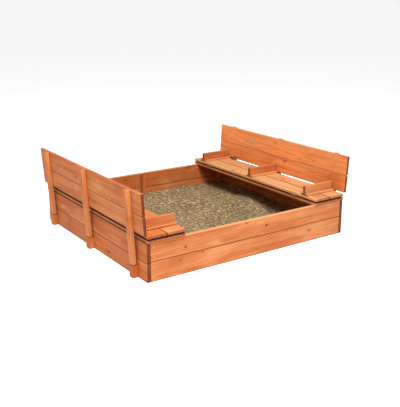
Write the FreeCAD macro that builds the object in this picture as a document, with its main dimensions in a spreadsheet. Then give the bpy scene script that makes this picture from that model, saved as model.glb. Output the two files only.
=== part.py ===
"""Wooden sandbox whose two folding half covers turn into benches with backrests.

Millimetres, +Z up, origin on the ground under the middle of the box. The object is drawn open, with both
benches up. It repeats itself when it is turned half a turn about the vertical, so every piece is drawn once,
for the +X bench and the front wall, and turned for its twin.
"""
import FreeCAD, Part
import os
import Sketcher

DIMENSIONS = (
    ("box_length", 1232),        # outside of the box along X
    ("box_width", 1136),         # outside of the box along Y
    ("wall_thick", 20),
    ("wall_tall", 191),
    ("long_wall_low", 98),       # height of the lower plank of the front and back walls
    ("side_wall_low", 94),       # height of the lower plank of the side walls
    ("wall_seam", 1),            # gap between the lower and the upper wall plank
    ("post_side", 35),
    ("post_clear", 2),           # posts stop this short of the ground and of the wall top
    ("mid_post_wide", 20),
    ("mid_post_deep", 40),
    ("mid_post_shift", 10),      # middle posts off the middle of the box, each to its own left from inside
    ("mid_post_drop", 15),       # the front middle post stops this far below the others
    ("plank_wide", 98),
    ("plank_gap", 3),
    ("plank_long", 1150),
    ("cover_thick", 15),         # planks that stay on the wall tops
    ("fold_thick", 14.6),        # planks that fold, thinner so that they close flush
    ("cover_inset", 5),          # cover planks stop this far inside the outside of the side walls
    ("seat_gap", 4),             # between cover and seat planks when closed
    ("seat_rise", 2.5),          # hinge axis above the wood face that its leaf lies on
    ("back_gap", 5),             # between seat and backrest planks when closed
    ("back_offset", 3),          # hinge axis to the inner face of the backrest
    ("back_lean", 3.6),          # degrees, backrest leans outwards
    ("back_seam_drop", 6),       # lower backrest plank narrower, and upper one wider, than the others
    ("batten_wide", 34),
    ("batten_thick", 22),
    ("batten_tail", 164),        # batten below the backrest hinge axis
    ("batten_spacing", 466),
    ("block_deep", 28),
    ("block_tall", 62),
    ("divider_spacing", 478),
    ("divider_inset", 1),        # divider end to the inner edge of the seat
    ("cleat_wide", 52),
    ("cleat_thick", 10),
    ("divider_thick", 18),
    ("divider_tall", 42),
    ("hinge_long", 44),
    ("hinge_spacing", 402),
    ("leaf_reach", 19),          # hinge axis to the far edge of a leaf
    ("leaf_thick", 1.6),
    ("leaf_corner", 3),
    ("barrel_radius", 2.5),
    ("barrel_clear", 0.4),
    ("pin_radius", 1.25),
    ("pin_clear", 0.05),
    ("liner_thick", 1),
    ("sand_deep", 51),
    ("filling_clear", 1),        # liner and sand stay this far off the walls
    ("plank_round", 1.2),
    ("batten_round", 4),
    ("post_round", 2),
    ("wood_screw_radius", 2),
    ("wood_head_radius", 4),
    ("hinge_screw_radius", 1.5),
    ("hinge_head_radius", 3),
    ("screw_clear", 0.15),       # hole wider than the screw, on the radius
    ("head_sunk", 0.3),          # screw head below the face
    ("long_wall_spread", 24),    # screws above and below the middle of a plank, front and back
    ("side_wall_spread", 12),    # the same on the side walls, clear of the others inside the posts
    ("cover_spread", 30),        # screws either side of the middle of a cover plank
    ("cover_spacing", 280),      # screws along the outer cover plank
    ("cover_edge", 10),          # and how far they are from its edge
    ("seat_spread", 32),
    ("cleat_spread", 17),
    ("back_spread", 28),
    ("batten_spread", 8),
    ("leaf_spread", 13),
    ("block_screw_low", 17),
    ("block_screw_high", 41),
    ("slot_wide", 0.9),          # cross slot of a screw head
    ("slot_deep", 1),
    ("slot_reach", 0.6),         # share of the head's radius that the slot reaches to
    ("wall_screw_long", 45),
    ("cover_screw_long", 38),
    ("cleat_screw_long", 22),
    ("divider_screw_long", 50),
    ("batten_screw_long", 30),
    ("hinge_screw_long", 12),
    ("overshoot", 1),            # how far cutting and joining solids run past what they cut or join
)
KNUCKLES = 5
UP = FreeCAD.Vector(0, 0, 1)
HALF_TURN = FreeCAD.Rotation(UP, 180)
SECTION_PLANE = {"x": "YZ_Plane", "y": "XZ_Plane", "z": "XY_Plane"}
NORMAL = {"x": FreeCAD.Vector(1, 0, 0), "y": FreeCAD.Vector(0, -1, 0), "z": UP}

# Places worked out from the driving dimensions, for the +X side.
HALF_X = "(dims.box_length / 2)"
HALF_Y = "(dims.box_width / 2)"
WALL_TOP = "dims.wall_tall"
COVER_TOP = "(%s + dims.cover_thick)" % WALL_TOP
PANEL_WIDE = "(2 * dims.plank_wide + dims.plank_gap)"
COVER_EDGE = "(%s - dims.cover_inset)" % HALF_X
COVER_INNER = "(%s - %s)" % (COVER_EDGE, PANEL_WIDE)
SEAT_AXIS_X = "(%s - dims.seat_gap / 2)" % COVER_INNER
SEAT_AXIS_Z = "(%s + dims.seat_rise)" % COVER_TOP
SEAT_UNDER = "(%s + dims.seat_rise)" % SEAT_AXIS_Z
SEAT_TOP = "(%s + dims.fold_thick)" % SEAT_UNDER
BACK_AXIS_X = "(%s + dims.back_gap / 2)" % COVER_EDGE
BACK_AXIS_Z = "(%s + dims.seat_rise)" % SEAT_TOP
BACK_FOOT = "(dims.back_gap / 2)"
PLANK_START = "(-dims.plank_long / 2)"
PLANK_STEP = "(dims.plank_wide + dims.plank_gap)"

doc = FreeCAD.newDocument("sandbox")
dims = doc.addObject("Spreadsheet::Sheet", "dims")
for row, (alias, number) in enumerate(DIMENSIONS, 1):
    dims.set("A%d" % row, alias)
    dims.set("B%d" % row, str(number))
    dims.setAlias("B%d" % row, alias)
doc.recompute()

nodes = []


def value(text):
    """The number that an expression of the sheet gives."""
    result = dims.evalExpression(str(text))
    return float(getattr(result, "Value", result))


def keep(piece, label):
    """Lists a finished piece under the name that its file takes."""
    piece.Label = label
    nodes.append(piece)
    return piece


def place(piece, x, y, z, turned=False, rotation=None):
    """Puts a piece at sheet expressions, or at their half-turn twin."""
    sign = "-1 * " if turned else ""
    own = rotation or FreeCAD.Rotation()
    piece.Placement = FreeCAD.Placement(FreeCAD.Vector(), HALF_TURN * own if turned else own)
    piece.setExpression("Placement.Base.x", "%s(%s)" % (sign, x))
    piece.setExpression("Placement.Base.y", "%s(%s)" % (sign, y))
    piece.setExpression("Placement.Base.z", str(z))


def lean():
    """The outward lean of the +X backrest."""
    return FreeCAD.Rotation(FreeCAD.Vector(0, 1, 0), value("dims.back_lean"))


def place_back(piece, out, y, up, turned):
    """Puts a piece of the backrest, out and up from its hinge axis along the leaning panel."""
    x = "%s + (%s) * cos(dims.back_lean) + (%s) * sin(dims.back_lean)" % (BACK_AXIS_X, out, up)
    z = "%s - (%s) * sin(dims.back_lean) + (%s) * cos(dims.back_lean)" % (BACK_AXIS_Z, out, up)
    place(piece, x, y, z, turned, lean())


def origin_plane(body, axis):
    """The body's own origin plane that an axis is normal to."""
    role = SECTION_PLANE[axis]
    return next(item for item in body.Origin.OriginFeatures if item.Role == role)


def new_sketch(body, name, axis, offset="0"):
    """An empty sketch of a body, square to an axis and moved along that axis."""
    sketch = body.newObject("Sketcher::SketchObject", name)
    sketch.AttachmentSupport = [(origin_plane(body, axis), "")]
    sketch.MapMode = "FlatFace"
    sketch.setExpression("AttachmentOffset.Base.z", str(offset))
    return sketch


def bind(sketch, name, expression, kind, *where):
    """A dimension of a sketch, driven by the sheet."""
    index = sketch.addConstraint(Sketcher.Constraint(kind, *where, value(expression)))
    sketch.renameConstraint(index, name)
    sketch.setExpression("Constraints." + name, str(expression))


def draw_outline(sketch, points):
    """A closed outline of straight lines through points."""
    count = len(points)
    for index, (across, up) in enumerate(points):
        end = points[(index + 1) % count]
        line = Part.LineSegment(FreeCAD.Vector(across, up, 0), FreeCAD.Vector(end[0], end[1], 0))
        sketch.addGeometry(line, False)
    for index in range(count):
        sketch.addConstraint(Sketcher.Constraint("Coincident", index, 2, (index + 1) % count, 1))


def board(name, along, across, up, length, rounding="dims.plank_round"):
    """A sawn board with every edge eased, from its corner at the body's origin."""
    body = doc.addObject("PartDesign::Body", name)
    sketch = new_sketch(body, name + "_section", along)
    wide = value(across)
    tall = value(up)
    draw_outline(sketch, ((0, 0), (wide, 0), (wide, tall), (0, tall)))
    for index, kind in enumerate(("Horizontal", "Vertical", "Horizontal", "Vertical")):
        sketch.addConstraint(Sketcher.Constraint(kind, index))
    sketch.addConstraint(Sketcher.Constraint("Coincident", 0, 1, -1, 1))
    bind(sketch, "across", across, "DistanceX", 0, 1, 0, 2)
    bind(sketch, "up", up, "DistanceY", 1, 1, 1, 2)
    pad = body.newObject("PartDesign::Pad", name + "_pad")
    pad.Profile = sketch
    pad.Reversed = along == "y"
    pad.setExpression("Length", length)
    doc.recompute()
    eased = body.newObject("PartDesign::Fillet", name + "_eased")
    eased.Base = (pad, ["Edge%d" % (index + 1) for index in range(len(pad.Shape.Edges))])
    eased.setExpression("Radius", rounding)
    doc.recompute()
    return body


def drill(body, axis, points, offset="0", into_plus=False):
    """Countersunk screw holes through a board, and where their screws go in the board's frame."""
    sketch = new_sketch(body, "%s_%s_marks" % (body.Name, axis), axis, offset)
    screws = []
    outward = NORMAL[axis] * (-1 if into_plus else 1)
    radius = value("dims.wood_screw_radius")
    for index, (across, up) in enumerate(points):
        circle = Part.Circle(FreeCAD.Vector(value(across), value(up), 0), UP, radius)
        sketch.addGeometry(circle, False)
        bind(sketch, "radius_%d" % index, "dims.wood_screw_radius", "Radius", index)
        bind(sketch, "across_%d" % index, across, "DistanceX", -1, 1, index, 3)
        bind(sketch, "up_%d" % index, up, "DistanceY", -1, 1, index, 3)
        spot = {
            "x": FreeCAD.Vector(value(offset), value(across), value(up)),
            "y": FreeCAD.Vector(value(across), -value(offset), value(up)),
            "z": FreeCAD.Vector(value(across), value(up), value(offset)),
        }[axis]
        sunk = spot - outward * value("dims.head_sunk")
        screws.append(FreeCAD.Placement(sunk, FreeCAD.Rotation(UP, outward)))
    doc.recompute()
    before = body.Shape.Volume
    hole = body.newObject("PartDesign::Hole", "%s_%s_holes" % (body.Name, axis))
    hole.Profile = sketch
    hole.Reversed = into_plus
    hole.ThreadType = "None"
    hole.setExpression("Diameter", "2 * (dims.wood_screw_radius + dims.screw_clear)")
    hole.DepthType = "ThroughAll"
    hole.HoleCutType = "Countersink"
    hole.HoleCutCustomValues = True
    hole.setExpression("HoleCutDiameter", "2 * (dims.wood_head_radius + dims.head_sunk + dims.screw_clear)")
    hole.HoleCutCountersinkAngle = 90
    doc.recompute()
    if not body.Shape.Volume < before:
        raise RuntimeError("%s: the screw holes cut nothing" % body.Name)
    return screws


def screw(name, radius="dims.wood_screw_radius", head_radius="dims.wood_head_radius"):
    """A countersunk screw, head up with its flat face at the origin, with a cross slot."""
    length = "dims.%s_long" % name
    body = doc.addObject("PartDesign::Body", name)
    half = new_sketch(body, name + "_half", "y")
    shank = value(radius)
    head = value(head_radius)
    neck = -(head - shank)
    point = -value(length)
    draw_outline(half, ((0, 0), (head, 0), (shank, neck), (shank, point + 2 * shank), (0, point)))
    half.addConstraint(Sketcher.Constraint("Coincident", 0, 1, -1, 1))
    half.addConstraint(Sketcher.Constraint("Horizontal", 0))
    half.addConstraint(Sketcher.Constraint("Vertical", 2))
    half.addConstraint(Sketcher.Constraint("Vertical", 4))
    bind(half, "head", head_radius, "DistanceX", 0, 1, 0, 2)
    bind(half, "shank", radius, "DistanceX", -1, 1, 2, 1)
    bind(half, "neck", "%s - %s" % (head_radius, radius), "DistanceY", 2, 1, 0, 2)
    bind(half, "length", length, "DistanceY", 4, 1, 0, 1)
    bind(half, "tip", "2 * " + radius, "DistanceY", 3, 2, 2, 2)
    turned = body.newObject("PartDesign::Revolution", name + "_turned")
    turned.Profile = half
    turned.ReferenceAxis = (half, ["V_Axis"])
    turned.Angle = 360
    doc.recompute()
    cross = new_sketch(body, name + "_cross", "z")
    near = value("dims.slot_wide") / 2
    far = head * value("dims.slot_reach")
    draw_outline(cross, (
        (near, near), (near, far), (-near, far), (-near, near), (-far, near), (-far, -near),
        (-near, -near), (-near, -far), (near, -far), (near, -near), (far, -near), (far, near)))
    slot = body.newObject("PartDesign::Pocket", name + "_slot")
    slot.Profile = cross
    slot.setExpression("Length", "dims.slot_deep")
    doc.recompute()
    return body


def group(label, masters, placements):
    """One node that holds a copy of each master at each of its places."""
    copies = []
    for master, spots in zip(masters, placements):
        for spot in spots:
            copy = doc.addObject("App::Link", "%s_%d" % (label, len(copies) + 1))
            copy.LinkedObject = master
            copy.LinkTransform = True
            copy.Placement = spot
            copies.append(copy)
    node = doc.addObject("Part::Compound", label)
    node.Links = copies
    return keep(node, label)


def in_object(piece, spots):
    """Places in a piece's own frame, given in the object's frame."""
    doc.recompute()
    return [piece.Placement.multiply(spot) for spot in spots]


def primitive(kind, name, sizes, x="0", y="0", z="0", rotation=None):
    """A Part primitive with its sizes and its place bound to the sheet."""
    solid = doc.addObject(kind, name)
    for prop, expression in sizes.items():
        solid.setExpression(prop, str(expression))
    place(solid, x, y, z, False, rotation)
    return solid


def plank_level(level, low):
    """The height of a wall plank and that of its lower edge, from the height of the lower plank."""
    if level == "lower":
        return low, "0"
    return "(%s - %s - dims.wall_seam)" % (WALL_TOP, low), low + " + dims.wall_seam"


def box_walls():
    """Eight wall planks, two high: the front and back walls stand between the side walls."""
    screws = []
    deep_post = "(dims.wall_thick + dims.post_side / 2)"
    between = "(dims.box_length - 2 * dims.wall_thick)"
    for level in ("lower", "upper"):
        tall, bottom = plank_level(level, "dims.long_wall_low")
        middle = tall + " / 2"
        for turned, name in ((False, "front_wall_"), (True, "back_wall_")):
            plank = board(name + level, "x", "dims.wall_thick", tall, between)
            place(plank, "-" + HALF_X + " + dims.wall_thick", "-" + HALF_Y, bottom, turned)
            stations = ("dims.post_side / 2", between + " / 2 + dims.mid_post_shift",
                        between + " - dims.post_side / 2")
            heights = (middle + " - dims.long_wall_spread", middle + " + dims.long_wall_spread")
            marks = [(station, height) for station in stations for height in heights]
            screws += in_object(plank, drill(plank, "y", marks))
            keep(plank, name + level)
        tall, bottom = plank_level(level, "dims.side_wall_low")
        middle = tall + " / 2"
        for turned, name in ((False, "right_wall_"), (True, "left_wall_")):
            plank = board(name + level, "y", "dims.wall_thick", tall, "dims.box_width")
            place(plank, HALF_X + " - dims.wall_thick", "-" + HALF_Y, bottom, turned)
            stations = (deep_post, "dims.box_width - " + deep_post)
            heights = (middle + " - dims.side_wall_spread", middle + " + dims.side_wall_spread")
            marks = [(station, height) for station in stations for height in heights]
            screws += in_object(plank, drill(plank, "x", marks, "dims.wall_thick"))
            if level == "lower":
                marks = [(HALF_Y + " + " + row, height) for row in batten_rows()
                         for height in ("dims.block_screw_low", "dims.block_screw_high")]
                screws += in_object(plank, drill(plank, "x", marks, "0", True))
            keep(plank, name + level)
    return screws


def batten_rows():
    """The Y of each batten and rest block."""
    return ["%d * dims.batten_spacing" % step for step in (-1, 0, 1)]


def box_posts():
    """A square post in each corner and a flat one behind the middle of each long wall."""
    tall = WALL_TOP + " - 2 * dims.post_clear"
    corner_x = HALF_X + " - dims.wall_thick - dims.post_side"
    back_y = HALF_Y + " - dims.wall_thick - dims.post_side"
    front_y = "-%s + dims.wall_thick" % HALF_Y
    corners = (
        ("front_right_corner_post", front_y, False),
        ("back_left_corner_post", front_y, True),
        ("back_right_corner_post", back_y, False),
        ("front_left_corner_post", back_y, True),
    )
    for name, y, turned in corners:
        post = board(name, "z", "dims.post_side", "dims.post_side", tall, "dims.post_round")
        place(post, corner_x, y, "dims.post_clear", turned)
        keep(post, name)
    middle_x = "-dims.mid_post_shift - dims.mid_post_wide / 2"
    middle_y = HALF_Y + " - dims.wall_thick - dims.mid_post_deep"
    middles = (
        ("back_middle_post", tall, False),
        ("front_middle_post", tall + " - dims.mid_post_drop", True),
    )
    for name, height, turned in middles:
        post = board(name, "z", "dims.mid_post_wide", "dims.mid_post_deep", height, "dims.post_round")
        place(post, middle_x, middle_y, "dims.post_clear", turned)
        keep(post, name)


def rest_blocks():
    """The blocks on the outside of the side walls that carry the battens' feet."""
    block = board("rest_block", "z", "dims.block_deep", "dims.batten_wide", "dims.block_tall",
                  "dims.post_round")
    outside = value(HALF_X)
    spots = []
    for rotation in (FreeCAD.Rotation(), HALF_TURN):
        for row in batten_rows():
            corner = FreeCAD.Vector(outside, value(row) - value("dims.batten_wide") / 2, 0)
            spots.append(FreeCAD.Placement(rotation.multVec(corner), rotation))
    group("rest_blocks", [block], [spots])


def cover_planks():
    """The two planks of each half cover that stay screwed down on the wall tops."""
    screws = []
    over_wall = "((dims.plank_long - dims.box_width + dims.wall_thick) / 2)"
    for turned, side in ((False, "right"), (True, "left")):
        for name, x in (("inner", COVER_INNER), ("outer", "%s + %s" % (COVER_INNER, PLANK_STEP))):
            label = "%s_cover_%s_plank" % (side, name)
            plank = board(label, "y", "dims.plank_wide", "dims.cover_thick", "dims.plank_long")
            place(plank, x, PLANK_START, WALL_TOP, turned)
            columns = ("dims.plank_wide / 2 - dims.cover_spread", "dims.plank_wide / 2 + dims.cover_spread")
            rows = (over_wall, "dims.plank_long - " + over_wall)
            marks = [(column, row) for column in columns for row in rows]
            if name == "outer":
                column = "dims.plank_wide - dims.cover_edge"
                marks += [(column, "dims.plank_long / 2 + %d * dims.cover_spacing" % step)
                          for step in (-1, 0, 1)]
            screws += in_object(plank, drill(plank, "z", marks, "dims.cover_thick"))
            keep(plank, label)
    return screws


def divider_rows():
    """The Y and the name of each divider on a bench, for the side that isn't turned."""
    return (("front", "-dims.divider_spacing"), ("middle", "0"), ("back", "dims.divider_spacing"))


def bench(side, turned):
    """The two seat planks of a bench and the dividers that stand on them."""
    screws = []
    long_screws = []
    for name, x in (("inner", COVER_INNER), ("outer", "%s + %s" % (COVER_INNER, PLANK_STEP))):
        label = "%s_seat_%s_plank" % (side, name)
        plank = board(label, "y", "dims.plank_wide", "dims.fold_thick", "dims.plank_long")
        place(plank, x, PLANK_START, SEAT_UNDER, turned)
        middle = "dims.plank_wide / 2"
        rows = ["dims.plank_long / 2 + (%s)" % row for _, row in divider_rows()]
        columns = (middle + " - dims.seat_spread", middle + " + dims.seat_spread")
        marks = [(column, "%s %s dims.cleat_spread" % (row, sign))
                 for row in rows for column in columns for sign in "-+"]
        marks += [(middle, row) for row in rows]
        spots = in_object(plank, drill(plank, "z", marks, "0", True))
        screws += spots[:-len(rows)]
        long_screws += spots[-len(rows):]
        keep(plank, label)
    reach = PANEL_WIDE + " - dims.divider_inset"
    inner = COVER_INNER + " + dims.divider_inset"
    cleat = board(side + "_cleat", "x", "dims.cleat_wide", "dims.cleat_thick", reach)
    rotation = HALF_TURN if turned else FreeCAD.Rotation()
    cleats = []
    for name, row in divider_rows():
        corner = FreeCAD.Vector(value(inner), value(row) - value("dims.cleat_wide") / 2, value(SEAT_TOP))
        cleats.append(FreeCAD.Placement(rotation.multVec(corner), rotation))
        if turned:
            name = {"front": "back", "back": "front"}.get(name, name)
        label = "%s_%s_divider" % (side, name)
        upright = board(label, "x", "dims.divider_thick", "dims.divider_tall", reach)
        place(upright, inner, "%s - dims.divider_thick / 2" % row, SEAT_TOP + " + dims.cleat_thick", turned)
        keep(upright, label)
    group(side + "_divider_cleats", [cleat], [cleats])
    return screws, long_screws


def backrest(side, turned):
    """The two planks of a backrest and the battens that join them and stand on the rest blocks."""
    screws = []
    lower_wide = "(dims.plank_wide - dims.back_seam_drop)"
    upper_wide = "(dims.plank_wide + dims.back_seam_drop)"
    upper_foot = "%s + %s + dims.plank_gap" % (BACK_FOOT, lower_wide)
    for name, wide, foot in (("lower", lower_wide, BACK_FOOT), ("upper", upper_wide, upper_foot)):
        label = "%s_back_%s_plank" % (side, name)
        plank = board(label, "y", "dims.fold_thick", wide, "dims.plank_long")
        place_back(plank, "dims.back_offset", PLANK_START, foot, turned)
        middle = wide + " / 2"
        pairs = (("-", "-"), ("+", "+"))
        marks = [("dims.plank_long / 2 + %s %s dims.batten_spread" % (row, across),
                  "%s %s dims.back_spread" % (middle, up)) for row in batten_rows() for across, up in pairs]
        screws += in_object(plank, drill(plank, "x", marks, "0", True))
        keep(plank, label)
    top = "(%s + %s)" % (BACK_FOOT, PANEL_WIDE)
    names = ("back", "middle", "front") if turned else ("front", "middle", "back")
    for name, row in zip(names, batten_rows()):
        label = "%s_%s_batten" % (side, name)
        batten = board(label, "z", "dims.batten_thick", "dims.batten_wide", top + " + dims.batten_tail",
                       "dims.batten_round")
        place_back(batten, "dims.back_offset + dims.fold_thick", "%s - dims.batten_wide / 2" % row,
                   "-dims.batten_tail", turned)
        keep(batten, label)
    return screws


def hinge_leaf(name, first_knuckle, offset):
    """One leaf of a butt hinge: axis along Y at the origin, plate towards +X, wood below it."""
    pitch = "dims.hinge_long / %d" % KNUCKLES
    start = "dims.barrel_radius + dims.barrel_clear"
    below = "-(%s)" % offset
    along_y = FreeCAD.Rotation(FreeCAD.Vector(1, 0, 0), -90)
    plate = primitive("Part::Box", name + "_plate", {
        "Length": "dims.leaf_reach - (%s)" % start,
        "Width": "dims.hinge_long",
        "Height": "dims.leaf_thick",
    }, start, "-dims.hinge_long / 2", below)
    doc.recompute()
    corners = [index for index, edge in enumerate(plate.Shape.Edges, 1)
               if edge.BoundBox.XMin > value("dims.leaf_reach") - 0.01 and edge.BoundBox.YLength < 0.01]
    rounded = doc.addObject("Part::Fillet", name + "_rounded")
    rounded.Base = plate
    rounded.Edges = [(index, value("dims.leaf_corner"), value("dims.leaf_corner")) for index in corners]
    solids = [rounded]
    for index in range(first_knuckle, KNUCKLES, 2):
        low = "-dims.hinge_long / 2 + %d * %s + dims.barrel_clear / 2" % (index, pitch)
        width = "%s - dims.barrel_clear" % pitch
        solids.append(primitive("Part::Cylinder", "%s_knuckle_%d" % (name, index), {
            "Radius": "dims.barrel_radius",
            "Height": width,
        }, "0", low, "0", along_y))
        solids.append(primitive("Part::Box", "%s_web_%d" % (name, index), {
            "Length": start + " + dims.overshoot",
            "Width": width,
            "Height": "dims.leaf_thick",
        }, "0", low, below))
    fused = doc.addObject("Part::MultiFuse", name + "_solid")
    fused.Shapes = solids
    cuts = [primitive("Part::Cylinder", name + "_bore", {
        "Radius": "dims.pin_radius + dims.pin_clear",
        "Height": "dims.hinge_long + 2 * dims.overshoot",
    }, "0", "-dims.hinge_long / 2 - dims.overshoot", "0", along_y)]
    middle = "(%s + dims.leaf_reach) / 2" % start
    for index, row in enumerate(("-dims.leaf_spread", "dims.leaf_spread")):
        cuts.append(primitive("Part::Cylinder", "%s_hole_%d" % (name, index), {
            "Radius": "dims.hinge_screw_radius + dims.screw_clear",
            "Height": "dims.leaf_thick + 2 * dims.overshoot",
        }, middle, row, below + " - dims.overshoot"))
        sink = "(dims.hinge_head_radius - dims.hinge_screw_radius)"
        cuts.append(primitive("Part::Cone", "%s_sink_%d" % (name, index), {
            "Radius1": "dims.hinge_screw_radius + dims.screw_clear",
            "Radius2": "dims.hinge_head_radius + dims.screw_clear",
            "Height": sink,
        }, middle, row, "%s + dims.leaf_thick - %s" % (below, sink)))
    tools = doc.addObject("Part::MultiFuse", name + "_tools")
    tools.Shapes = cuts
    leaf = doc.addObject("Part::Cut", name)
    leaf.Base = fused
    leaf.Tool = tools
    doc.recompute()
    return leaf


def hinge_pin():
    """The pin of a hinge, along Y with its middle at the origin."""
    along_y = FreeCAD.Rotation(FreeCAD.Vector(1, 0, 0), -90)
    return primitive("Part::Cylinder", "hinge_pin", {
        "Radius": "dims.pin_radius",
        "Height": "dims.hinge_long",
    }, "0", "-dims.hinge_long / 2", "0", along_y)


def hinge_spots(x, z, own_rotation, turned):
    """Where the two hinges of one joint have their origin."""
    side_turn = HALF_TURN if turned else FreeCAD.Rotation()
    spots = []
    for sign in (-1, 1):
        centre = FreeCAD.Vector(value(x), sign * value("dims.hinge_spacing"), value(z))
        spots.append(FreeCAD.Placement(side_turn.multVec(centre), side_turn * own_rotation))
    return spots


def leaf_screws(spots, offset):
    """Where the screws of leaves go, given where the leaves are."""
    start = value("dims.barrel_radius + dims.barrel_clear")
    middle = (start + value("dims.leaf_reach")) / 2
    face = value("dims.leaf_thick - (%s)" % offset)
    rows = (-value("dims.leaf_spread"), value("dims.leaf_spread"))
    return [spot.multiply(FreeCAD.Placement(FreeCAD.Vector(middle, row, face), FreeCAD.Rotation()))
            for spot in spots for row in rows]


def filling():
    """The ground sheet under the box and the sand in it, notched round the posts."""
    inside_x = "(dims.box_length - 2 * dims.wall_thick - 2 * dims.filling_clear)"
    inside_y = "(dims.box_width - 2 * dims.wall_thick - 2 * dims.filling_clear)"
    liner = primitive("Part::Box", "ground_liner", {
        "Length": inside_x,
        "Width": inside_y,
        "Height": "dims.liner_thick",
    }, "-%s / 2" % inside_x, "-%s / 2" % inside_y, "0")
    keep(liner, "ground_liner")
    heap = primitive("Part::Box", "sand_block", {
        "Length": inside_x,
        "Width": inside_y,
        "Height": "dims.sand_deep",
    }, "-%s / 2" % inside_x, "-%s / 2" % inside_y, "dims.liner_thick")
    clear = "dims.filling_clear"
    side = "(dims.post_side + %s)" % clear
    deep = "(dims.mid_post_deep + %s)" % clear
    wide = "(dims.mid_post_wide + 2 * %s)" % clear
    wall_x = "(%s - dims.wall_thick)" % HALF_X
    wall_y = "(%s - dims.wall_thick)" % HALF_Y
    cuts = []
    notches = (
        ("front_left", "-" + wall_x, "-" + wall_y, side, side),
        ("front_right", "%s - %s" % (wall_x, side), "-" + wall_y, side, side),
        ("back_left", "-" + wall_x, "%s - %s" % (wall_y, side), side, side),
        ("back_right", "%s - %s" % (wall_x, side), "%s - %s" % (wall_y, side), side, side),
        ("front_middle", "dims.mid_post_shift - %s / 2" % wide, "-" + wall_y, wide, deep),
        ("back_middle", "-dims.mid_post_shift - %s / 2" % wide, "%s - %s" % (wall_y, deep), wide, deep),
    )
    for name, low_x, low_y, length, width in notches:
        cuts.append(primitive("Part::Box", "notch_" + name, {
            "Length": length,
            "Width": width,
            "Height": "dims.liner_thick + dims.sand_deep + dims.overshoot",
        }, low_x, low_y, "0"))
    tools = doc.addObject("Part::MultiFuse", "notches")
    tools.Shapes = cuts
    sand = doc.addObject("Part::Cut", "sand_bed")
    sand.Base = heap
    sand.Tool = tools
    keep(sand, "sand_bed")


def build():
    """Draws every sub-part."""
    wall_screw = screw("wall_screw")
    cover_screw = screw("cover_screw")
    cleat_screw = screw("cleat_screw")
    divider_screw = screw("divider_screw")
    batten_screw = screw("batten_screw")
    hinge_screw = screw("hinge_screw", "dims.hinge_screw_radius", "dims.hinge_head_radius")
    wide_leaf = hinge_leaf("three_knuckle_leaf", 0, "dims.seat_rise")
    narrow_leaf = hinge_leaf("two_knuckle_leaf", 1, "dims.seat_rise")
    back_leaf = hinge_leaf("two_knuckle_back_leaf", 1, "dims.back_offset")
    pin = hinge_pin()

    wall_spots = box_walls()
    group("wall_screws", [wall_screw], [wall_spots])
    box_posts()
    rest_blocks()
    group("cover_screws", [cover_screw], [cover_planks()])
    filling()

    flat = FreeCAD.Rotation()
    flipped = FreeCAD.Rotation(FreeCAD.Vector(1, 0, 0), 180)
    upright = FreeCAD.Rotation(FreeCAD.Vector(0, 1, 0), -90)
    cover_leaves = []
    cover_pins = []
    for side, turned in (("right", False), ("left", True)):
        cover_leaves += hinge_spots(SEAT_AXIS_X, SEAT_AXIS_Z, flat, turned)
        cover_pins += hinge_spots(SEAT_AXIS_X, SEAT_AXIS_Z, flat, turned)
        short_spots, long_spots = bench(side, turned)
        back_spots = backrest(side, turned)
        under_leaves = hinge_spots(SEAT_AXIS_X, SEAT_AXIS_Z, flipped, turned)
        top_leaves = hinge_spots(BACK_AXIS_X, BACK_AXIS_Z, HALF_TURN, turned)
        back_leaves = hinge_spots(BACK_AXIS_X, BACK_AXIS_Z, lean() * upright, turned)
        back_pins = hinge_spots(BACK_AXIS_X, BACK_AXIS_Z, flat, turned)
        group(side + "_seat_hinge_leaves", [narrow_leaf, wide_leaf], [under_leaves, top_leaves])
        group(side + "_back_hinge_pins", [pin], [back_pins])
        group(side + "_back_hinge_leaves", [back_leaf], [back_leaves])
        seat_leaf_spots = leaf_screws(under_leaves + top_leaves, "dims.seat_rise")
        group(side + "_seat_screws", [cleat_screw, divider_screw, hinge_screw],
              [short_spots, long_spots, seat_leaf_spots])
        group(side + "_back_screws", [batten_screw, hinge_screw],
              [back_spots, leaf_screws(back_leaves, "dims.back_offset")])
    group("cover_hinge_leaves", [wide_leaf], [cover_leaves])
    group("cover_hinge_pins", [pin], [cover_pins])
    group("cover_hinge_screws", [hinge_screw], [leaf_screws(cover_leaves, "dims.seat_rise")])


def export():
    """Checks every object of the document, then writes each sub-part to its own file."""
    doc.recompute()
    failed = [item.Name for item in doc.Objects if {"Invalid", "Error"} & set(item.State)]
    if failed:
        raise RuntimeError("failed objects: %s" % failed)
    for node in nodes:
        if node.Shape.isNull() or not node.Shape.isValid():
            raise RuntimeError("bad shape: %s" % node.Label)
    os.makedirs("parts", exist_ok=True)
    for node in nodes:
        node.Shape.exportStep("parts/%s.step" % node.Label)
        box = node.Shape.BoundBox
        print("%-28s solids %3d  volume %12.1f  z %7.2f to %7.2f" % (
            node.Label, len(node.Shape.Solids), node.Shape.Volume, box.ZMin, box.ZMax))
    print("%d nodes" % len(nodes))


build()
export()
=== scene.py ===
import math
import random

import bmesh
import bpy
import numpy as np
from mathutils import Matrix, Vector, noise


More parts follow.
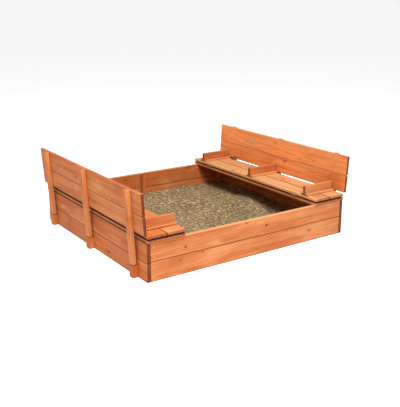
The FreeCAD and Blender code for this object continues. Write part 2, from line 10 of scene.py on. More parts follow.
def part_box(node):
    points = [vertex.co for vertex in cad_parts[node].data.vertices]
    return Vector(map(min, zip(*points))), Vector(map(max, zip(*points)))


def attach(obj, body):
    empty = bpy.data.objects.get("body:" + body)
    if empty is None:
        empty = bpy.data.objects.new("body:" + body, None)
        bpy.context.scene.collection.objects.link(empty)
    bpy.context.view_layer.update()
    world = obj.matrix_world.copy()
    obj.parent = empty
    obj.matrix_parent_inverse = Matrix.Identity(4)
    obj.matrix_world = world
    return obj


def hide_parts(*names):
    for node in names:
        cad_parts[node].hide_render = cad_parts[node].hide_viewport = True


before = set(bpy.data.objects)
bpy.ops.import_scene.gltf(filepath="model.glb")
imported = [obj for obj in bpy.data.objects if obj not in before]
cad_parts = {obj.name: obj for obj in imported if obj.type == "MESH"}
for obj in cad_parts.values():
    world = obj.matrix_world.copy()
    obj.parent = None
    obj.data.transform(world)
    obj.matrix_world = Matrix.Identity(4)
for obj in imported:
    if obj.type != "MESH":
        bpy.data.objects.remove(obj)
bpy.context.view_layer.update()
scene = bpy.context.scene

# ---------------------------------------------------------------- camera and light, metres and degrees
CAMERA_AT = (-2.0454, -3.0958, 1.2685)
CAMERA_YAW = -34.238
CAMERA_PITCH = 17.039
CAMERA_ROLL = -0.089
CAMERA_LENS = 60.743     # millimetres, as is the sensor
SENSOR = 36.0

KEY_LIGHT = {"at": (-0.9, -1.6, 3.3), "size": 1.3, "watts": 190.0, "colour": (1.0, 0.98, 0.96)}
FILL_LIGHT = {"at": (-1.2, -5.0, 2.4), "size": 3.0, "watts": 12.0, "colour": (1.0, 0.99, 0.98)}
LIGHTS_LOOK_AT = (0, 0, 0.2)
SKY_STRENGTH = 0.42
FLOOR_TONE = (0.88, 0.88, 0.88, 1.0)
FLOOR_GLOW = 0.55
FLOOR_SIZE = 400.0
FLOOR_UNDER = 0.0005     # the floor lies this far under the object
WHITE = (1.0, 1.0, 1.0, 1.0)

# ---------------------------------------------------------------- sizes that the CAD model also has
BACK_LEAN = 3.6          # degrees that the backrests lean outwards
# Nodes that hold a row of like boards: distance from one board to the next, and half a board's width.
ROWS = {"divider_cleats": (0.478, 0.026), "rest_blocks": (0.466, 0.017)}
# How far the pattern of the wood moves on: at random for a node, along a row, to the other side.
PATTERN_SPREAD = 40.0
PATTERN_ROW = 9.0
PATTERN_SIDE = 3.7


def linear(red, green, blue):
    """A linear colour from its eight-bit sRGB numbers."""

    def channel(number):
        part = number / 255.0
        return part / 12.92 if part <= 0.04045 else ((part + 0.055) / 1.055) ** 2.4

    return (channel(red), channel(green), channel(blue), 1.0)


# ---------------------------------------------------------------- shader building
class Shader:
    """A material's node tree, with short calls for the nodes that it is made of."""

    def __init__(self, name):
        self.material = bpy.data.materials.new(name)
        self.material.use_nodes = True
        self.tree = self.material.node_tree
        self.surface = self.tree.nodes["Principled BSDF"]
        self.position = self.add("ShaderNodeTexCoord").outputs["Object"]

    def add(self, kind):
        return self.tree.nodes.new(kind)

    def feed(self, socket, value):
        """Links a socket, or sets a plain value on it."""
        if isinstance(value, bpy.types.NodeSocket):
            self.tree.links.new(value, socket)
        else:
            socket.default_value = value

    def math(self, operation, first, second=0.0, third=0.0, clamp=False):
        node = self.add("ShaderNodeMath")
        node.operation = operation
        node.use_clamp = clamp
        for socket, value in zip(node.inputs, (first, second, third)):
            self.feed(socket, value)
        return node.outputs[0]

    def dot(self, vector, axis):
        node = self.add("ShaderNodeVectorMath")
        node.operation = "DOT_PRODUCT"
        self.feed(node.inputs[0], vector)
        node.inputs[1].default_value = axis
        return node.outputs["Value"]

    def vector(self, first, second, third):
        node = self.add("ShaderNodeCombineXYZ")
        for socket, value in zip(node.inputs, (first, second, third)):
            self.feed(socket, value)
        return node.outputs[0]

    def noise(self, vector, scale, detail=2.0, roughness=0.5):
        node = self.add("ShaderNodeTexNoise")
        self.feed(node.inputs["Vector"], vector)
        node.inputs["Scale"].default_value = scale
        node.inputs["Detail"].default_value = detail
        node.inputs["Roughness"].default_value = roughness
        return node.outputs["Fac"]

    def cells(self, vector, scale, output="Distance"):
        node = self.add("ShaderNodeTexVoronoi")
        self.feed(node.inputs["Vector"], vector)
        node.inputs["Scale"].default_value = scale
        return node.outputs[output]

    def between(self, value, low, high, low_out=0.0, high_out=1.0):
        """Maps a value smoothly from one range to another, and holds it at the ends."""
        node = self.add("ShaderNodeMapRange")
        node.interpolation_type = "SMOOTHSTEP"
        for name, number in (("Value", value), ("From Min", low), ("From Max", high),
                             ("To Min", low_out), ("To Max", high_out)):
            self.feed(node.inputs[name], number)
        return node.outputs["Result"]

    def mix(self, share, first, second, blend="MIX"):
        node = self.add("ShaderNodeMix")
        node.data_type = "RGBA"
        node.blend_type = blend
        self.feed(node.inputs["Factor"], share)
        self.feed(node.inputs[6], first)
        self.feed(node.inputs[7], second)
        return node.outputs[2]

    def veil(self, colour, pattern, start, full, share, tone):
        """Lays a tone over a colour as a pattern goes from its start to full, up to a share."""
        return self.mix(self.between(pattern, start, full, 0.0, share), colour, tone)

    def tint(self, colour, mask, share, tone):
        """Lays a tone over a colour in proportion to a mask, up to a share."""
        return self.mix(self.math("MULTIPLY", mask, share), colour, tone)

    def bump(self, height, strength, distance):
        node = self.add("ShaderNodeBump")
        node.inputs["Strength"].default_value = strength
        node.inputs["Distance"].default_value = distance
        self.feed(node.inputs["Height"], height)
        self.feed(self.surface.inputs["Normal"], node.outputs["Normal"])

    def finish(self, colour, roughness, metallic=0.0, specular=0.5):
        self.feed(self.surface.inputs["Base Color"], colour)
        self.feed(self.surface.inputs["Roughness"], roughness)
        self.surface.inputs["Metallic"].default_value = metallic
        self.surface.inputs["Specular IOR Level"].default_value = specular
        return self.material


# ---------------------------------------------------------------- wood
STAIN_PALE = linear(208, 148, 98)
# Raw wood tone, which also paints a sheen where it pales the right seat.
RAW_STAIN_AND_SHEEN = linear(222, 172, 122)
# Painted light: the lit tone of the right backrest.
LIT_BACKREST_TONE = linear(248, 150, 82)
STAIN_DRY = linear(172, 126, 88)
STAIN_LIGHT = linear(196, 121, 69)
STAIN_MID = linear(186, 104, 54)
STAIN_DEEP = linear(150, 68, 31)
END_GRAIN = linear(88, 34, 20)
KNOT_CORE = linear(80, 34, 16)
KNOT_RING = linear(148, 70, 34)
# Pale cream for a painted highlight along the tops of the front and back walls.
HIGHLIGHT_CREAM = linear(236, 184, 132)
# Dark tone for painted shade in seams, gaps and hinge slots, with grime in the seams, and for the darker
# band near the ground.
SHADE_AND_DIRT_TONE = linear(62, 20, 9)

# Veils over the stain: where the pattern starts to show, where it is full, its share there, its tone.
DEEP_STRIPE = (0.53, 0.74, 0.62, STAIN_DEEP)
PALE_PATCH = (0.50, 0.34, 0.50, STAIN_PALE)
DEEP_PATCH = (0.52, 0.70, 0.45, STAIN_DEEP)
DEEP_STREAK = (0.50, 0.76, 0.35, STAIN_DEEP)
DEEP_FIBRE = (0.35, 0.75, 0.20, STAIN_DEEP)
# Paler long edges: rubbed wear with a painted edge highlight.
RUBBED_AND_HIGHLIGHT_EDGE = (0.0040, 0.0020, 0.30, STAIN_PALE)
# Painted highlight along the top edge of the front and back walls.
TOP_EDGE_HIGHLIGHT = (0.0024, 0.0006, 0.35, HIGHLIGHT_CREAM)
# The right backrest is painted brighter, a painted light, from the middle to the back: start, full, and
# how much is left in front.
LIT_FROM = -0.50
LIT_FULL = -0.10
LIT_LEAST = 0.35

# Painted shade along an edge or an end, with grime in the seams: how wide it reaches, and its share.
# Painted shade in the seams between wall planks and between seat planks, with grime.
WALL_SEAM_SHADE_AND_DIRT = (0.0020, 0.70)
SEAT_SEAM_SHADE_AND_DIRT = (0.0024, 0.75)
# Painted shadow under the cover overhang on the upper side walls, and a darker band towards the bottom of
# the lower walls and rest blocks.
COVER_SHADE_AND_BOTTOM_DARK = (0.0045, 0.60)
# Painted shade where a batten's foot meets its block.
BATTEN_FOOT_SHADE = (0.0050, 0.70)
# Painted shadow in the gap under a backrest's lower plank.
BACK_GAP_SHADE = (0.0040, 0.95)
# Painted shade seen through the hinge slots, on the cover tops and seat undersides near the seam and the
# ends.
HINGE_SLOT_SHADE = (0.0034, 0.90)
STREAKED = 0.0008        # how far the streaks of the grain draw the painted shade and grime out

KNOT_SPACING = 0.5       # of the knots placed at random
KNOT_RADII = (0.002, 0.003, 0.005)
KNOT_FLAT = 0.6          # width of a knot over its length
KNOT_EDGE = (1.2, 0.7)   # in radii, where a knot starts and is full
COLLAR_EDGE = (4.5, 0.8)
RING_SHARE = 0.26        # how much of its tone each mask lays on
COLLAR_SHARE = 0.32
KNOT_SHARE = 0.88

X_AXIS = Vector((1, 0, 0))
Y_AXIS = Vector((0, 1, 0))
Z_AXIS = Vector((0, 0, 1))

# Knots placed one by one: along and across from the middle of the board, and radius.
MARKED_KNOTS = {
    "front_wall_upper": ((-0.046, 0.037, 0.0030), (0.082, 0.002, 0.0050), (-0.407, -0.012, 0.0040)),
    "front_wall_lower": ((-0.310, 0.041, 0.0030), (0.375, 0.013, 0.0040), (-0.435, 0.024, 0.0025)),
    "left_wall_upper": ((0.243, -0.015, 0.0030),),
    "left_wall_lower": ((-0.182, -0.014, 0.0060),),
    "left_back_upper_plank": ((0.114, -0.018, 0.0040), (0.338, -0.008, 0.0030), (-0.288, -0.043, 0.0035)),
    "left_back_lower_plank": ((-0.084, -0.009, 0.0025),),
    "left_front_batten": ((0.046, -0.010, 0.0035), (0.078, 0.009, 0.0020)),
    "right_back_upper_plank": ((0.019, 0.023, 0.0025), (-0.318, -0.022, 0.0020)),
    "right_back_lower_plank": ((-0.076, 0.032, 0.0035),),
}


def grain_axes(name):
    """Unit vectors along a board, across its wide face and through its thickness."""
    lean = math.radians(BACK_LEAN) * (-1 if name.startswith("left") else 1)
    up = Vector((math.sin(lean), 0, math.cos(lean)))
    out = Vector((math.cos(lean), 0, -math.sin(lean)))
    if name.startswith(("front_wall", "back_wall")):
        return X_AXIS, Z_AXIS, Y_AXIS
    if name.startswith(("left_wall", "right_wall")):
        return Y_AXIS, Z_AXIS, X_AXIS
    if "batten" in name:
        return up, Y_AXIS, out
    if "_back_lower" in name or "_back_upper" in name:
        return Y_AXIS, up, out
    if "divider_cleats" in name:
        return X_AXIS, Y_AXIS, Z_AXIS
    if "divider" in name:
        return X_AXIS, Z_AXIS, Y_AXIS
    if "plank" in name:
        return Y_AXIS, X_AXIS, Z_AXIS
    return Z_AXIS, Y_AXIS, X_AXIS


# How families of boards differ: part of the name, share and colour of the tone, darkness of the ends.
# Besides each family's own tone, the tones paint light and shade: a painted sheen on the right seat,
# painted light on the battens and the right backrest, and painted shade on the left wall.
FAMILY_TONES_AND_LIGHT = (
    ("left_wall", 0.16, STAIN_DEEP, 0.80),
    ("front_wall", 0.22, STAIN_DRY, 0.80),
    ("wall", 0.08, STAIN_DEEP, 0.80),
    ("left_seat", 0.05, STAIN_PALE, 0.50),
    ("seat", 0.68, RAW_STAIN_AND_SHEEN, 0.50),
    ("cover", 0.25, STAIN_PALE, 0.50),
    ("batten", 0.25, STAIN_PALE, 0.25),
    ("right_divider_cleats", 0.45, RAW_STAIN_AND_SHEEN, 0.70),
    ("cleats", 0.20, STAIN_PALE, 0.70),
    ("divider", 0.15, STAIN_PALE, 0.75),
    ("right_back_", 0.68, LIT_BACKREST_TONE, 0.88),
    ("_back_", 0.10, STAIN_DEEP, 0.88),
    ("", 0.10, STAIN_DEEP, 0.60),
)


def family_tone_and_light(name):
    """The tone, its colour and the end darkness of a board's family, where the tone also paints light and
    shade.
    """
    return next(rest for part, *rest in FAMILY_TONES_AND_LIGHT if part in name)


def seam_side(name):
    """Which long edge of a board lies against its neighbour: 1 or -1 across the board, 0 for neither."""
    if "lower" in name:
        return 1
    if "upper" in name:
        return -1
    outward = -1 if name.startswith("left") else 1
    if "inner_plank" in name:
        return outward
    if "outer_plank" in name:
        return -outward
    return 0


def extent(points, axis):
    """Lowest and highest place of a node's vertices along an axis."""
    places = points @ np.array(axis)
    return float(places.min()), float(places.max())


def vertices_of(obj):
    """A node's vertices as an array."""
    flat = np.empty(len(obj.data.vertices) * 3)
    obj.data.vertices.foreach_get("co", flat)
    return flat.reshape(-1, 3)


def knot_spots(name, half_along, half_across):
    """Where a board's knots lie, along and across from its middle, and their radius."""
    if name in MARKED_KNOTS:
        return MARKED_KNOTS[name]
    dice = random.Random("knots " + name)
    spots = []
    for _ in range(int(2 * half_along / KNOT_SPACING)):
        along = dice.uniform(-0.9, 0.9) * half_along
        across = dice.uniform(-0.8, 0.8) * half_across
        spots.append((along, across, dice.choice(KNOT_RADII)))
    return spots


class Board:
    """Where a point lies in one board, or in each of the like boards of a group node."""

    def __init__(self, shader, name, obj, dice):
        axes = grain_axes(name)
        points = vertices_of(obj)
        ends = [extent(points, axis) for axis in axes]
        raw = [shader.dot(shader.position, axis) for axis in axes]
        shift = dice.uniform(0.0, PATTERN_SPREAD)
        for part, (pitch, half_wide) in ROWS.items():
            if part in name:
                ends[1] = (-half_wide, half_wide)
                wrapped = shader.math("WRAP", raw[1], pitch / 2, -pitch / 2)
                step = shader.math("SUBTRACT", raw[1], wrapped)
                shift = shader.math("MULTIPLY_ADD", step, PATTERN_ROW, shift)
                raw[1] = wrapped
        if name == "rest_blocks":
            from_middle = np.abs(points[:, 0])
            ends[2] = (float(from_middle.min()), float(from_middle.max()))
            shift = shader.math("MULTIPLY_ADD", shader.math("SIGN", raw[2]), PATTERN_SIDE, shift)
            raw[2] = shader.math("ABSOLUTE", raw[2])
        self.halves = [(high - low) / 2 for low, high in ends]
        places = [shader.math("SUBTRACT", place, (low + high) / 2)
                  for place, (low, high) in zip(raw, ends)]
        self.along, self.across, self.through = places
        self.seeded = shader.math("ADD", self.along, shift)
        self.gaps = [shader.math("SUBTRACT", half, shader.math("ABSOLUTE", place))
                     for half, place in zip(self.halves, places)]

    def stretched(self, shader, share):
        """Coordinates for a pattern that is drawn out along the grain."""
        return shader.vector(shader.math("MULTIPLY", self.seeded, share), self.across, self.through)


def knots(shader, board, spots):
    """Two masks: the knots themselves, and the grain that swings round them."""
    core = 0.0
    collar = 0.0
    for spot_along, spot_across, radius in spots:
        off_along = shader.math("SUBTRACT", board.along, spot_along)
        off_across = shader.math("SUBTRACT", board.across, spot_across)
        dx = shader.math("MULTIPLY", off_along, KNOT_FLAT / radius)
        dy = shader.math("MULTIPLY", off_across, 1.0 / radius)
        square = shader.math("ADD", shader.math("MULTIPLY", dx, dx), shader.math("MULTIPLY", dy, dy))
        reach = shader.math("SQRT", square)
        core = shader.math("MAXIMUM", core, shader.between(reach, *KNOT_EDGE))
        collar = shader.math("MAXIMUM", collar, shader.between(reach, *COLLAR_EDGE))
    return core, collar


def growth(shader, board, collar, dice):
    """Distance from the pith, which the growth rings and the stripes of tone follow."""
    bend = shader.noise(board.stretched(shader, 0.55), scale=4.0, roughness=0.55)
    ripple = shader.noise(board.stretched(shader, 0.22), scale=22.0)
    bend_across, bend_through = 0.034, 0.016
    ripple_deep, collar_swing = 0.0035, 0.005
    off_across = dice.uniform(-0.04, 0.04)
    off_through = dice.uniform(0.03, 0.09) * dice.choice((-1, 1))
    ring_across = shader.math("ADD", shader.math("MULTIPLY_ADD", bend, bend_across, off_across),
                              board.across)
    ring_through = shader.math("ADD", shader.math("MULTIPLY_ADD", bend, bend_through, off_through),
                               board.through)
    square = shader.math("ADD", shader.math("MULTIPLY", ring_across, ring_across),
                         shader.math("MULTIPLY", ring_through, ring_through))
    pith = shader.math("SQRT", square)
    pith = shader.math("MULTIPLY_ADD", board.along, dice.uniform(-0.012, 0.012), pith)
    pith = shader.math("MULTIPLY_ADD", ripple, ripple_deep, pith)
    return shader.math("MULTIPLY_ADD", collar, collar_swing, pith)


def shade_and_dirt(shader, name, board, streak):
    """How much painted shade and grime darken a board: painted shade with grime in the seams, painted
    shadow under the seats and covers and in the gap under the backrests, painted shade at the batten feet
    and beside the hinge slots, and a darker band at the feet of the rest blocks and near the ground.
    """
    side = seam_side(name)
    masks = []

    def darkened_band(half, place, sign, band):
        """Darkening at one end of a board's along, across or through direction."""
        wide, share = band
        gap = shader.math("MULTIPLY_ADD", place, -sign, half)
        gap = shader.math("MULTIPLY_ADD", streak, -STREAKED, gap)
        return shader.between(gap, wide, wide * 0.4, 0.0, share)

    def at_edge(sign, band):
        masks.append(darkened_band(board.halves[1], board.across, sign, band))

    def at_foot(band):
        masks.append(darkened_band(board.halves[0], board.along, -1, band))

    # Painted shade, with grime, in the seams between planks.
    if side and "wall" in name:
        at_edge(side, WALL_SEAM_SHADE_AND_DIRT)
    if side and "seat" in name:
        at_edge(side, SEAT_SEAM_SHADE_AND_DIRT)
    # Darker towards the bottom of the lower walls.
    if "wall_lower" in name:
        at_edge(-1, COVER_SHADE_AND_BOTTOM_DARK)
    # Painted shadow under the cover overhang, along the top of the upper side walls.
    if name in ("left_wall_upper", "right_wall_upper"):
        at_edge(1, COVER_SHADE_AND_BOTTOM_DARK)
    # Darker towards the bottom of the rest blocks.
    if name == "rest_blocks":
        at_foot(COVER_SHADE_AND_BOTTOM_DARK)
    # Painted shade where the batten's foot meets its block.
    if "batten" in name:
        at_foot(BATTEN_FOOT_SHADE)
    # Painted shadow in the gap under the backrest.
    if "_back_lower" in name:
        at_edge(-1, BACK_GAP_SHADE)
    # Painted shade beside the hinge slot: on the cover's top face and the seat's underside.
    if side and ("cover" in name or "seat" in name):
        facing = 1 if "cover" in name else -1
        reach = 0.016 if "cover" in name else 0.004
        seam_gap = shader.math("MULTIPLY_ADD", board.across, side, board.halves[1])
        rim = shader.math("MINIMUM", board.gaps[0], seam_gap)
        face = darkened_band(board.halves[2], board.through, facing, HINGE_SLOT_SHADE)
        masks.append(shader.math("MULTIPLY", face, shader.between(rim, reach, reach * 0.3)))
    mask = 0.0
    for other in masks:
        mask = shader.math("MAXIMUM", mask, other)
    return mask


def wood(name, obj):
    """Stained softwood for one board: rings, stripes, knots, end grain, paler edges that are rubbed and
    carry a painted highlight, painted shade with grime at its seams and gaps, and family tones that paint
    light and shade.
    """
    dice = random.Random("wood " + name)
    shader = Shader("wood_" + name)
    board = Board(shader, name, obj, dice)
    core, collar = knots(shader, board, knot_spots(name, board.halves[0], board.halves[1]))
    pith = growth(shader, board, collar, dice)
    rings_per_metre = dice.uniform(190.0, 270.0)
    rings = shader.math("FRACT", shader.math("MULTIPLY", pith, rings_per_metre))
    rise = shader.between(rings, 0.25, 0.86)
    fall = shader.between(rings, 1.0, 0.92)
    late_wood = shader.math("MULTIPLY", rise, fall)
    stripes_per_metre = 70.0
    stripe_across = shader.math("MULTIPLY", pith, stripes_per_metre)
    stripe_space = shader.vector(stripe_across, shader.math("MULTIPLY", board.seeded, 1.1), 0.0)
    stripe = shader.noise(stripe_space, scale=1.0, detail=3.0, roughness=0.6)
    streak = shader.noise(board.stretched(shader, 0.05), scale=60.0, detail=3.0, roughness=0.6)
    fibre = shader.noise(board.stretched(shader, 0.03), scale=640.0, roughness=0.7)
    patch = shader.noise(board.stretched(shader, 0.4), scale=8.0, detail=3.0, roughness=0.6)

    # Stain: paler and deeper stripes along the grain, then rings, fibres and knots.
    colour = shader.mix(shader.between(stripe, 0.34, 0.62), STAIN_LIGHT, STAIN_MID)
    colour = shader.mix(dice.uniform(0.0, 0.25), colour, dice.choice((STAIN_PALE, STAIN_MID, STAIN_DEEP)))
    # The family tone is partly board tone and partly painted light and shade: a painted sheen on the right
    # seat, painted light on the battens and the right backrest, painted shade on the left wall.
    share, tone, end_share = family_tone_and_light(name)
    # Painted light on the right backrest, weaker towards the front.
    if name.startswith("right_back_"):
        share = shader.between(board.along, LIT_FROM, LIT_FULL, share * LIT_LEAST, share)
    colour = shader.mix(share, colour, tone)
    colour = shader.veil(colour, stripe, *DEEP_STRIPE)
    colour = shader.veil(colour, patch, *PALE_PATCH)
    colour = shader.veil(colour, patch, *DEEP_PATCH)
    colour = shader.tint(colour, late_wood, RING_SHARE, STAIN_DEEP)
    colour = shader.veil(colour, streak, *DEEP_STREAK)
    colour = shader.veil(colour, fibre, *DEEP_FIBRE)
    colour = shader.tint(colour, collar, COLLAR_SHARE, KNOT_RING)
    colour = shader.tint(colour, core, KNOT_SHARE, KNOT_CORE)

    # Long edges are rubbed pale and carry a painted highlight, sawn ends drink more stain, and painted
    # shade, with grime in the seams, darkens where two boards meet.
    gaps = board.gaps
    near = shader.math("MINIMUM", gaps[1], gaps[2])
    far = shader.math("MAXIMUM", gaps[1], gaps[2])
    edge = shader.math("MAXIMUM", near, shader.math("MINIMUM", far, gaps[0]))
    edge = shader.math("MULTIPLY_ADD", streak, 0.003, edge)
    # Paler long edges: rubbed wear with a painted edge highlight.
    colour = shader.veil(colour, edge, *RUBBED_AND_HIGHLIGHT_EDGE)
    # Painted highlight along the top edge of the front and back walls.
    if name in ("front_wall_upper", "back_wall_upper"):
        top_gap = shader.math("SUBTRACT", board.halves[1], board.across)
        colour = shader.veil(colour, top_gap, *TOP_EDGE_HIGHLIGHT)
    end = shader.between(gaps[0], 0.0013, 0.0005)
    end_tone = shader.tint(END_GRAIN, late_wood, 0.5, KNOT_CORE)
    colour = shader.tint(colour, end, end_share, end_tone)
    # Painted shade, with grime in the seams, laid over the colour.
    colour = shader.mix(shade_and_dirt(shader, name, board, streak), colour, SHADE_AND_DIRT_TONE)

    height = shader.math("MULTIPLY_ADD", fibre, 0.6, shader.math("MULTIPLY", late_wood, 0.35))
    height = shader.math("MULTIPLY_ADD", core, -0.5, height)
    shader.bump(height, strength=0.35, distance=0.0006)
    rough = shader.math("MULTIPLY_ADD", streak, 0.22, 0.44)
    rough = shader.math("MULTIPLY_ADD", end, 0.2, rough)
    return shader.finish(colour, rough, specular=0.08)


# ---------------------------------------------------------------- steel, sand and ground sheet
HINGE_STEEL = (linear(176, 176, 172), linear(120, 118, 112))
SCREW_STEEL = (linear(206, 160, 98), linear(150, 104, 56))


def zinc(name, tones, roughness):
    """Zinc plated steel with a spangled, slightly dulled face."""
    shader = Shader(name)
    bloom = shader.noise(shader.position, scale=55.0, detail=3.0, roughness=0.6)
    spangle = shader.cells(shader.position, scale=420.0)
    share = shader.math("MULTIPLY_ADD", spangle, 0.5, shader.between(bloom, 0.35, 0.7, 0.0, 0.6))
    colour = shader.mix(share, *tones)
    scratch = shader.noise(shader.position, scale=900.0, detail=1.0)
    shader.bump(scratch, strength=0.15, distance=0.0001)
    rough = shader.math("MULTIPLY_ADD", bloom, 0.25, roughness)
    return shader.finish(colour, rough, metallic=0.9)


GRAIN_DARK = linear(116, 94, 60)
GRAIN_LIGHT = linear(178, 154, 115)
# Veils over the sand, as over the wood: start, full, share and tone.
DARK_SPECK = (0.86, 0.96, 0.75, linear(70, 54, 36))
DAMP_PATCH = (0.45, 0.68, 0.45, linear(104, 84, 54))
# Painted shade in the hollows of the bumped clods, and painted light on their tops.
SHADED_CLOD = (0.50, 0.34, 0.70, linear(62, 47, 28))
LIT_CLOD = (0.52, 0.68, 0.75, linear(222, 198, 156))


def sand_material():
    """Damp washed sand: grains of a few tones, with darker grains and small crumbs, painted shade in the
    hollows of its clods and painted light on their tops.
    """
    shader = Shader("play_sand")
    tone = shader.cells(shader.position, scale=760.0, output="Color")
    grain = shader.dot(tone, (0.4, 0.3, 0.3))
    speck = shader.dot(shader.cells(shader.position, scale=430.0, output="Color"), (0.0, 1.0, 0.0))
    damp = shader.noise(shader.position, scale=5.5, detail=4.0, roughness=0.6)
    clod = shader.noise(shader.position, scale=62.0, detail=3.0, roughness=0.65)
    colour = shader.mix(grain, GRAIN_DARK, GRAIN_LIGHT)
    colour = shader.veil(colour, speck, *DARK_SPECK)
    colour = shader.veil(colour, damp, *DAMP_PATCH)
    # Painted shade in the hollows of the clods, then painted light on their tops.
    colour = shader.veil(colour, clod, *SHADED_CLOD)
    colour = shader.veil(colour, clod, *LIT_CLOD)
    lump = shader.noise(shader.position, scale=210.0, detail=3.0, roughness=0.7)
    pebble = shader.cells(shader.position, scale=620.0)
    height = shader.math("MULTIPLY_ADD", lump, 1.4, shader.math("MULTIPLY", pebble, -0.8))
    height = shader.math("MULTIPLY_ADD", clod, 2.6, height)
    shader.bump(height, strength=0.9, distance=0.0026)
    rough = shader.math("MULTIPLY_ADD", grain, 0.12, 0.82)
    return shader.finish(colour, rough, specular=0.25)


TAPE_DARK = linear(20, 22, 22)
TAPE_LIGHT = linear(52, 55, 54)
SHEET_DUST = (0.5, 0.75, 0.5, linear(120, 104, 78))


def sheet_material():
    """Black woven weed sheet: flat tapes over and under, with dust on them."""
    shader = Shader("woven_sheet")
    tapes_per_metre = 420.0
    split = shader.add("ShaderNodeSeparateXYZ")
    shader.feed(split.inputs[0], shader.position)
    turn = tapes_per_metre * math.pi
    warp = shader.math("SINE", shader.math("MULTIPLY", split.outputs["X"], turn))
    weft = shader.math("SINE", shader.math("MULTIPLY", split.outputs["Y"], turn))
    weave = shader.math("MULTIPLY", warp, weft)
    tape = shader.between(weave, -0.4, 0.4)
    dust = shader.noise(shader.position, scale=14.0, detail=4.0, roughness=0.7)
    colour = shader.mix(tape, TAPE_DARK, TAPE_LIGHT)
    colour = shader.veil(colour, dust, *SHEET_DUST)
    shader.bump(tape, strength=0.5, distance=0.0004)
    rough = shader.math("MULTIPLY_ADD", dust, 0.25, 0.5)
    return shader.finish(colour, rough, specular=0.35)


def floor_material():
    """A plain pale studio floor."""
    shader = Shader("studio_floor")
    shader.surface.inputs["Emission Color"].default_value = WHITE
    shader.surface.inputs["Emission Strength"].default_value = FLOOR_GLOW
    return shader.finish(FLOOR_TONE, roughness=0.9, specular=0.1)


# ---------------------------------------------------------------- sand surface
SAND_CELL = 0.0075
POST_CLEAR = 0.0008      # between the sand and a post
SAND_LOW = 0.024
SAND_HIGH = 0.084
BANK_RISE = 0.010        # of the sand that lies against the walls
BANK_REACH = 0.06
HEAP_FALL = 1.6          # how fast a heap or hollow levels out
# Hollows dug and heaps thrown up, given one by one: x, y, radius, height.
SAND_SHAPES = (
    (0.42, -0.22, 0.17, -0.026),
    (0.44, 0.05, 0.15, 0.022),
    (-0.34, 0.26, 0.20, 0.016),
    (-0.12, -0.16, 0.19, -0.017),
    (-0.40, -0.30, 0.16, 0.014),
    (0.10, 0.33, 0.18, 0.012),
    (0.14, -0.42, 0.13, 0.011),
)
# Uneven sand, coarse and fine: waves to the metre, place in the noise, its fall and gap, octaves, rise.
SAND_WAVES = (
    (4.0, 1.7, 0.8, 2.1, 3, 0.012),
    (19.0, 5.2, 0.9, 2.0, 3, 0.0040),
)
SAND_GRIT = (95.0, 9.4, 0.0012)


def sand_height(x, y, level, inner):
    """Height of the sand at a place: heaps, hollows, lumps and the bank that builds up at the walls."""
    height = level
    for at_x, at_y, radius, rise in SAND_SHAPES:
        far = ((x - at_x) ** 2 + (y - at_y) ** 2) / radius ** 2
        height += rise * math.exp(-far * HEAP_FALL)
    wall = min(inner[0] - abs(x), inner[1] - abs(y))
    height += BANK_RISE * math.exp(-wall / BANK_REACH)
    for waves, place, fall, gap, octaves, rise in SAND_WAVES:
        height += rise * noise.fractal(Vector((x * waves, y * waves, place)), fall, gap, octaves)
    waves, place, rise = SAND_GRIT
    height += rise * noise.noise(Vector((x * waves, y * waves, place)))
    return min(max(height, SAND_LOW), SAND_HIGH)


def marks(limits):
    """Grid lines that pass exactly through every limit, about one cell apart."""
    lines = [limits[0]]
    for low, high in zip(limits, limits[1:]):
        count = max(1, round((high - low) / SAND_CELL))
        lines += [low + (high - low) * step / count for step in range(1, count + 1)]
    return lines


def sand_surface():
    """The sand as one closed solid: a shaped top, straight sides and notches round the posts."""
    low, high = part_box("sand_bed")
    corner_low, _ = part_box("back_right_corner_post")
    middle_low, middle_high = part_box("back_middle_post")
    corner_x = corner_low[0] - POST_CLEAR
    corner_y = corner_low[1] - POST_CLEAR
    middle_y = middle_low[1] - POST_CLEAR
    left = middle_low[0] - POST_CLEAR
    right = middle_high[0] + POST_CLEAR
    xs = marks(sorted([low[0], -corner_x, left, right, -right, -left, corner_x, high[0]]))
    ys = marks(sorted([low[1], -corner_y, -middle_y, middle_y, corner_y, high[1]]))
    inner = (high[0], high[1])
    mesh = bmesh.new()
    top = {}
    base = {}

    def point(store, column, row, z):
        key = (column, row)
        if key not in store:
            store[key] = mesh.verts.new((xs[column], ys[row], z))
        return store[key]

    def holds_sand(column, row):
        x = (xs[column] + xs[column + 1]) / 2
        y = (ys[row] + ys[row + 1]) / 2
        in_corner = abs(x) > corner_x and abs(y) > corner_y
        beside = math.copysign(1.0, y) * x
        in_middle = abs(y) > middle_y and left < beside < right
        return not in_corner and not in_middle

    for column in range(len(xs) - 1):
        for row in range(len(ys) - 1):
            if not holds_sand(column, row):
                continue
            ring = ((column, row), (column + 1, row), (column + 1, row + 1), (column, row + 1))
            mesh.faces.new([point(top, i, j, sand_height(xs[i], ys[j], high[2], inner)) for i, j in ring])
            mesh.faces.new([point(base, i, j, low[2]) for i, j in reversed(ring)])
    keys = {vert: key for key, vert in top.items()}
    for edge in [edge for edge in mesh.edges if edge.is_boundary and edge.verts[0] in keys]:
        face = edge.link_faces[0]
        first, second = edge.verts
        order = [loop.vert for loop in face.loops]
        if order[(order.index(first) + 1) % 4] is not second:
            first, second = second, first
        mesh.faces.new([second, first, base[keys[first]], base[keys[second]]])
    return finished("play_sand", mesh, sand_material())


def finished(name, mesh, material, smooth=True):
    """Turns a bmesh into a piece of the scene."""
    data = bpy.data.meshes.new(name)
    mesh.to_mesh(data)
    mesh.free()
    for polygon in data.polygons:
        polygon.use_smooth = smooth
    data.materials.append(material)
    piece = bpy.data.objects.new(name, data)
    scene.collection.objects.link(piece)
    return piece


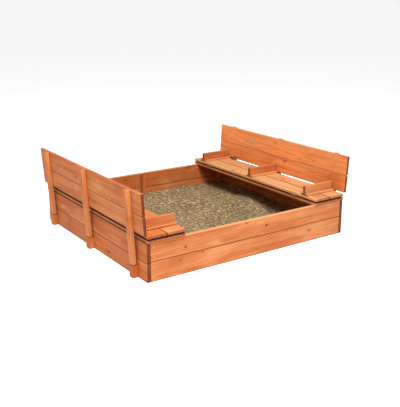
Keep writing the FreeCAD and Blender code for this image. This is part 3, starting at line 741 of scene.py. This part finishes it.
SHEET_THICK = 0.0005
SHEET_CELLS = (90, 84)
CREASE_RISE = 0.00035
CREASE_WAVES = 7.0       # to the metre
CREASE_PLACE = 3.3       # in the noise


def ground_sheet():
    """The thin woven sheet under the sand, with the faint creases of its folding, and its flat size."""
    low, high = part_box("ground_liner")
    columns, rows = SHEET_CELLS
    mesh = bmesh.new()
    layers = []
    for lift in (0.0, SHEET_THICK):
        layer = []
        for row in range(rows + 1):
            for column in range(columns + 1):
                x = low[0] + (high[0] - low[0]) * column / columns
                y = low[1] + (high[1] - low[1]) * row / rows
                spot = Vector((x * CREASE_WAVES, y * CREASE_WAVES, CREASE_PLACE))
                crease = CREASE_RISE * abs(noise.noise(spot))
                layer.append(mesh.verts.new((x, y, low[2] + crease + lift)))
        layers.append(layer)
    under, over = layers
    width = columns + 1
    for row in range(rows):
        for column in range(columns):
            corner = row * width + column
            ring = (corner, corner + 1, corner + 1 + width, corner + width)
            mesh.faces.new([over[index] for index in ring])
            mesh.faces.new([under[index] for index in reversed(ring)])
    border = [row * width for row in range(rows, 0, -1)]
    border += list(range(0, columns))
    border += [row * width + columns for row in range(rows)]
    border += [rows * width + column for column in range(columns, 0, -1)]
    for index, corner in enumerate(border):
        following = border[(index + 1) % len(border)]
        mesh.faces.new([under[corner], under[following], over[following], over[corner]])
    return finished("ground_sheet", mesh, sheet_material()), (high[0] - low[0], high[1] - low[1])


# ---------------------------------------------------------------- scene assembly
def dress_nodes():
    """Gives each CAD node that stays its material: one for hinges, one for screws, one for every board."""
    hinge_zinc = zinc("hinge_zinc", HINGE_STEEL, 0.28)
    screw_zinc = zinc("screw_zinc", SCREW_STEEL, 0.36)
    for name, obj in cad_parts.items():
        if name in ("sand_bed", "ground_liner"):
            continue
        if "screws" in name:
            material = screw_zinc
        elif "hinge" in name:
            material = hinge_zinc
        else:
            material = wood(name, obj)
        for slot in obj.material_slots:
            slot.link = "OBJECT"
            slot.material = material


def area_light(name, settings):
    """A square soft light that looks at the middle of the object."""
    data = bpy.data.lights.new(name, "AREA")
    data.shape = "SQUARE"
    data.size = settings["size"]
    data.energy = settings["watts"]
    data.color = settings["colour"]
    lamp = bpy.data.objects.new(name, data)
    lamp.location = settings["at"]
    aim = Vector(LIGHTS_LOOK_AT) - Vector(settings["at"])
    lamp.rotation_euler = aim.to_track_quat("-Z", "Y").to_euler()
    scene.collection.objects.link(lamp)


def studio():
    """Floor, sky, lights and camera."""
    world = bpy.data.worlds.new("studio")
    world.use_nodes = True
    sky = world.node_tree.nodes["Background"]
    sky.inputs["Color"].default_value = WHITE
    sky.inputs["Strength"].default_value = SKY_STRENGTH
    scene.world = world
    scene.view_settings.view_transform = "Standard"

    mesh = bmesh.new()
    bmesh.ops.create_grid(mesh, x_segments=2, y_segments=2, size=FLOOR_SIZE / 2)
    floor = finished("studio_floor", mesh, floor_material(), smooth=False)
    floor.location.z = -FLOOR_UNDER

    area_light("key", KEY_LIGHT)
    area_light("fill", FILL_LIGHT)

    data = bpy.data.cameras.new("camera")
    data.lens = CAMERA_LENS
    data.sensor_width = SENSOR
    camera = bpy.data.objects.new("camera", data)
    turn = Matrix.Rotation(math.radians(CAMERA_YAW), 4, "Z")
    tilt = Matrix.Rotation(math.radians(90 - CAMERA_PITCH), 4, "X")
    roll = Matrix.Rotation(math.radians(CAMERA_ROLL), 4, "Z")
    camera.matrix_world = Matrix.Translation(CAMERA_AT) @ turn @ tilt @ roll
    scene.collection.objects.link(camera)
    scene.camera = camera


studio()
dress_nodes()

sand = sand_surface()
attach(sand, "root")
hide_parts("sand_bed")

sheet, sheet_flat = ground_sheet()
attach(sheet, "root")
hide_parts("ground_liner")
